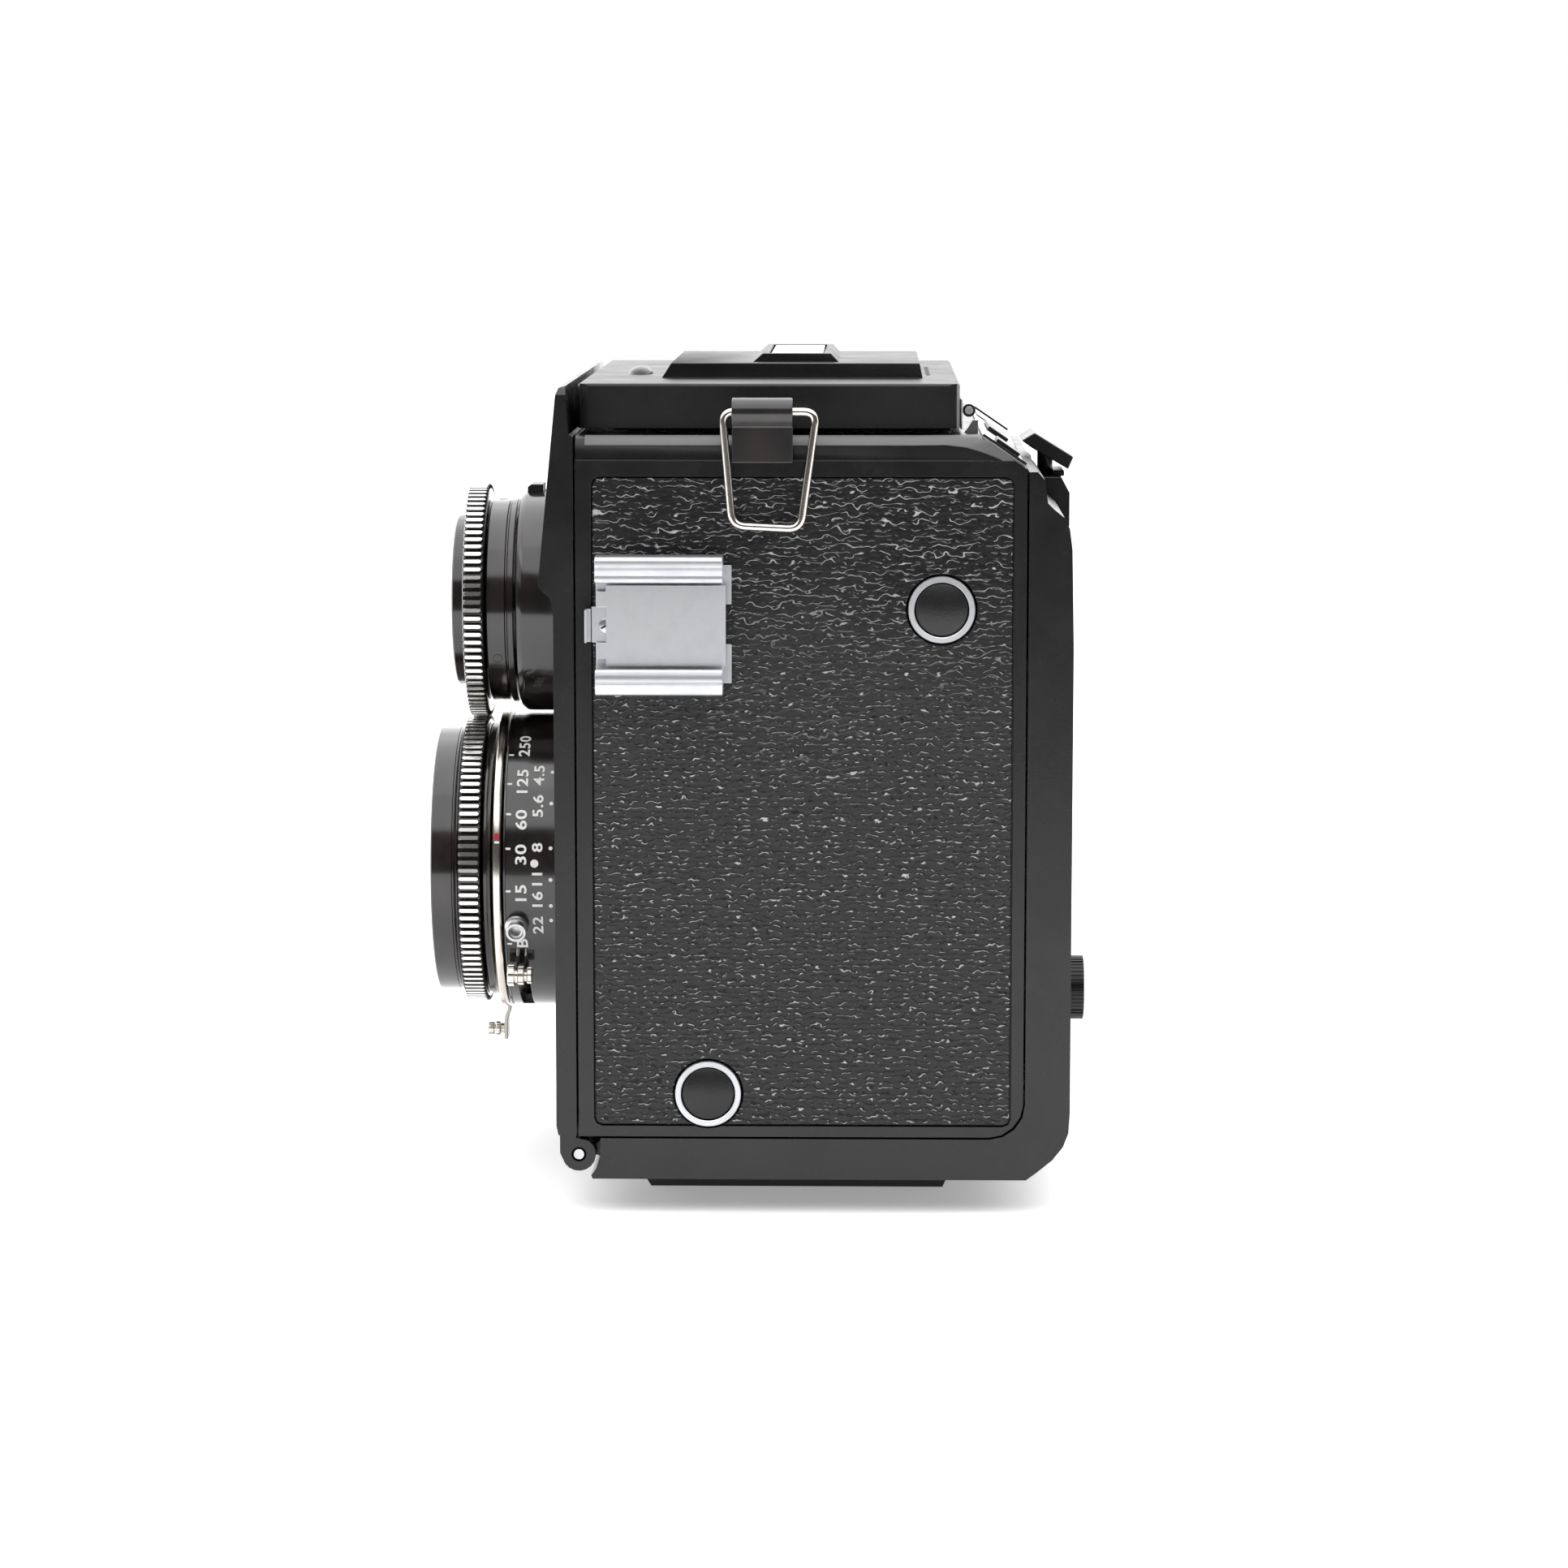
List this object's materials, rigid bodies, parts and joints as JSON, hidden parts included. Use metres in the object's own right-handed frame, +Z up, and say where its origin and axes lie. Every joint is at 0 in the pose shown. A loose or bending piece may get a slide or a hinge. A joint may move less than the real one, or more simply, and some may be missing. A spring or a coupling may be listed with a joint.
{
  "type": "twin lens reflex camera",
  "caption": "Box-shaped twin lens reflex roll film camera with geared focusing lenses, folding waist-level hood, hinged back door and side accessory shoe.",
  "frame": {"origin": "on the flat foot under the camera, on the middle plane, under the light path", "axes": "+X towards the accessory shoe side, -Y out of the lenses, +Z up"},
  "size_m": [0.1074, 0.1007, 0.1256],
  "materials": {
    "body_black": "fine satin moulded",
    "leatherette": "coarse wrinkle grain",
    "barrel_black": "polished black enamel",
    "alu_satin": "satin anodised",
    "nickel": "warm nickel plate",
    "steel": "brushed",
    "optical_glass": "coated",
    "red_window": "deep red",
    "screen": "ground",
    "mirror": "silvered",
    "white_plastic": "plain white"
  },
  "bodies": {
    "body": {"body_shell": "body_black", "front_panel": "body_black", "leather_right": "leatherette", "leather_left": "leatherette", "film_chamber": "body_black", "door_hinge_pin": "nickel", "shoe_base": "alu_satin", "shoe_spring": "alu_satin", "shoe_screw": "steel", "lug_right": "barrel_black", "lug_left": "barrel_black", "view_flange": "barrel_black", "shutter_housing": "barrel_black", "pc_socket": "steel", "take_rear_glass": "optical_glass", "mirror": "mirror", "mirror_bracket": "body_black", "focusing_screen": "screen", "hood_frame": "body_black", "hood_rear_plate": "steel"},
    "door": {"back_door": "body_black", "latch_block": "body_black", "tripod_socket": "steel", "window_glass": "red_window"},
    "latch": {"door_latch": "body_black"},
    "pressure": {"pressure_plate": "steel"},
    "window_cover": {"window_knob": "body_black"},
    "winder": {"advance_knob": "body_black", "take_up_spool": "body_black"},
    "feed": {"feed_spool": "body_black"},
    "upper_pin": {"upper_button": "body_black", "upper_button_ring": "alu_satin"},
    "lower_pin": {"lower_button": "body_black", "lower_button_ring": "alu_satin"},
    "left_pin": {"left_button": "alu_satin"},
    "strap_ring_right": {"ring_right": "nickel"},
    "strap_ring_left": {"ring_left": "nickel"},
    "view_carrier": {"view_sleeve": "barrel_black"},
    "view_focus": {"view_gear": "alu_satin", "view_rim": "barrel_black", "view_front_glass": "optical_glass"},
    "take_carrier": {"take_sleeve": "barrel_black"},
    "take_focus": {"take_gear": "alu_satin", "filter_rim": "barrel_black", "take_front_glass": "optical_glass"},
    "speed": {"speed_ring": "nickel"},
    "aperture": {"aperture_lever": "nickel"},
    "cocking": {"cocking_lever": "nickel"},
    "release": {"release_lever": "nickel"},
    "leaf_a": {"shutter_leaf_1": "steel"},
    "leaf_b": {"shutter_leaf_2": "steel"},
    "lid": {"hood_lid": "body_black", "lid_insert": "white_plastic"},
    "side_flap_right": {"flap_right": "body_black"},
    "side_flap_left": {"flap_left": "body_black"},
    "rear_flap": {"flap_rear": "body_black"},
    "loupe": {"loupe_frame": "body_black", "loupe_glass": "optical_glass"},
    "catch": {"hood_catch": "body_black"}
  },
  "joints": [
    {"name": "back_door_open", "type": "hinge", "parent": "body", "child": "door", "pos_m": [0, -0.0294, 0.00875], "axis": [-1, 0, 0], "range_deg": [0, 95]},
    {"name": "door_latch_lift", "type": "slide", "parent": "door", "child": "latch", "axis": [0, 0, 1], "range_m": [0, 0.003], "stiffness_N_per_m": 150, "springref_m": -0.002},
    {"name": "pressure_plate_press", "type": "slide", "parent": "door", "child": "pressure", "axis": [0, 1, 0], "range_m": [0, 0.0008], "stiffness_N_per_m": 300, "springref_m": -0.002},
    {"name": "window_cover_turn", "type": "hinge", "parent": "door", "child": "window_cover", "pos_m": [0, 0.0434, 0.0256], "axis": [0, 1, 0], "range_deg": [0, 70]},
    {"name": "film_advance_turn", "type": "hinge", "parent": "body", "child": "winder", "pos_m": [-0.047, 0.0238, 0.0896], "axis": [1, 0, 0], "continuous": true},
    {"name": "feed_spool_turn", "type": "hinge", "parent": "body", "child": "feed", "pos_m": [0, -0.0103, 0.01795], "axis": [1, 0, 0], "continuous": true},
    {"name": "upper_button_pull", "type": "slide", "parent": "body", "child": "upper_pin", "axis": [1, 0, 0], "range_m": [0, 0.004], "stiffness_N_per_m": 200, "springref_m": -0.003},
    {"name": "lower_button_pull", "type": "slide", "parent": "body", "child": "lower_pin", "axis": [1, 0, 0], "range_m": [0, 0.004], "stiffness_N_per_m": 200, "springref_m": -0.003},
    {"name": "left_button_pull", "type": "slide", "parent": "body", "child": "left_pin", "axis": [-1, 0, 0], "range_m": [0, 0.004], "stiffness_N_per_m": 200, "springref_m": -0.003},
    {"name": "strap_ring_right_swing", "type": "hinge", "parent": "body", "child": "strap_ring_right", "pos_m": [0.0482, 0, 0.1183], "axis": [0, -1, 0], "range_deg": [0, 150]},
    {"name": "strap_ring_left_swing", "type": "hinge", "parent": "body", "child": "strap_ring_left", "pos_m": [-0.0482, 0, 0.1183], "axis": [0, 1, 0], "range_deg": [0, 150]},
    {"name": "take_focus_travel", "type": "slide", "parent": "body", "child": "take_carrier", "axis": [0, -1, 0], "range_m": [0, 0.0015]},
    {"name": "take_focus_turn", "type": "hinge", "parent": "take_carrier", "child": "take_focus", "pos_m": [0, -0.047, 0.046], "axis": [0, -1, 0], "range_deg": [0, 265]},
    {"name": "view_focus_travel", "type": "slide", "parent": "body", "child": "view_carrier", "axis": [0, -1, 0], "range_m": [0, 0.0015]},
    {"name": "view_focus_turn", "type": "hinge", "parent": "view_carrier", "child": "view_focus", "pos_m": [0, -0.047, 0.0866], "axis": [0, -1, 0], "range_deg": [-330, 0]},
    {"name": "speed_turn", "type": "hinge", "parent": "body", "child": "speed", "pos_m": [0, -0.043, 0.046], "axis": [0, -1, 0], "range_deg": [-40, 34]},
    {"name": "aperture_turn", "type": "hinge", "parent": "body", "child": "aperture", "pos_m": [0, -0.0398, 0.046], "axis": [0, -1, 0], "range_deg": [-28, 3]},
    {"name": "shutter_cock", "type": "hinge", "parent": "body", "child": "cocking", "pos_m": [0, -0.0375, 0.046], "axis": [0, 1, 0], "range_deg": [0, 50]},
    {"name": "shutter_release", "type": "hinge", "parent": "body", "child": "release", "pos_m": [0, -0.0375, 0.046], "axis": [0, 1, 0], "range_deg": [0, 20], "stiffness_Nm_per_rad": 0.02, "springref_deg": -8.59},
    {"name": "shutter_leaf_a_turn", "type": "hinge", "parent": "body", "child": "leaf_a", "pos_m": [0.0139, -0.036, 0.06], "axis": [0, -1, 0], "range_deg": [0, 26.5]},
    {"name": "shutter_leaf_b_turn", "type": "hinge", "parent": "body", "child": "leaf_b", "pos_m": [-0.0139, -0.036, 0.06], "axis": [0, 1, 0], "range_deg": [0, 26.5]},
    {"name": "hood_open", "type": "hinge", "parent": "body", "child": "lid", "pos_m": [0, -0.0299, 0.1219], "axis": [1, 0, 0], "range_deg": [0, 90]},
    {"name": "flap_right_rise", "type": "hinge", "parent": "body", "child": "side_flap_right", "pos_m": [0.0354, 0, 0.1173], "axis": [0, 1, 0], "range_deg": [0, 90]},
    {"name": "flap_left_rise", "type": "hinge", "parent": "body", "child": "side_flap_left", "pos_m": [-0.0354, 0, 0.1173], "axis": [0, -1, 0], "range_deg": [0, 90]},
    {"name": "flap_rear_rise", "type": "hinge", "parent": "body", "child": "rear_flap", "pos_m": [0, 0.0244, 0.1187], "axis": [-1, 0, 0], "range_deg": [0, 90]},
    {"name": "loupe_swing", "type": "hinge", "parent": "lid", "child": "loupe", "pos_m": [0, 0.0181, 0.1202], "axis": [1, 0, 0], "range_deg": [0, 90]},
    {"name": "hood_catch_slide", "type": "slide", "parent": "body", "child": "catch", "axis": [1, 0, 0], "range_m": [0, 0.003], "stiffness_N_per_m": 100, "springref_m": -0.002}
  ],
  "couplings": [
    {"joint": "view_focus_turn", "follows": "take_focus_turn", "ratio": -1.2444},
    {"joint": "take_focus_travel", "follows": "take_focus_turn", "m_per_rad": 0.00032},
    {"joint": "view_focus_travel", "follows": "take_focus_turn", "m_per_rad": 0.00032},
    {"joint": "shutter_leaf_a_turn", "follows": "shutter_release", "ratio": 1.3},
    {"joint": "shutter_leaf_b_turn", "follows": "shutter_release", "ratio": 1.3},
    {"joint": "flap_right_rise", "follows": "hood_open", "ratio": 1},
    {"joint": "flap_left_rise", "follows": "hood_open", "ratio": 1},
    {"joint": "flap_rear_rise", "follows": "hood_open", "ratio": 1},
    {"joint": "loupe_swing", "follows": "hood_open", "ratio": 1}
  ]
}
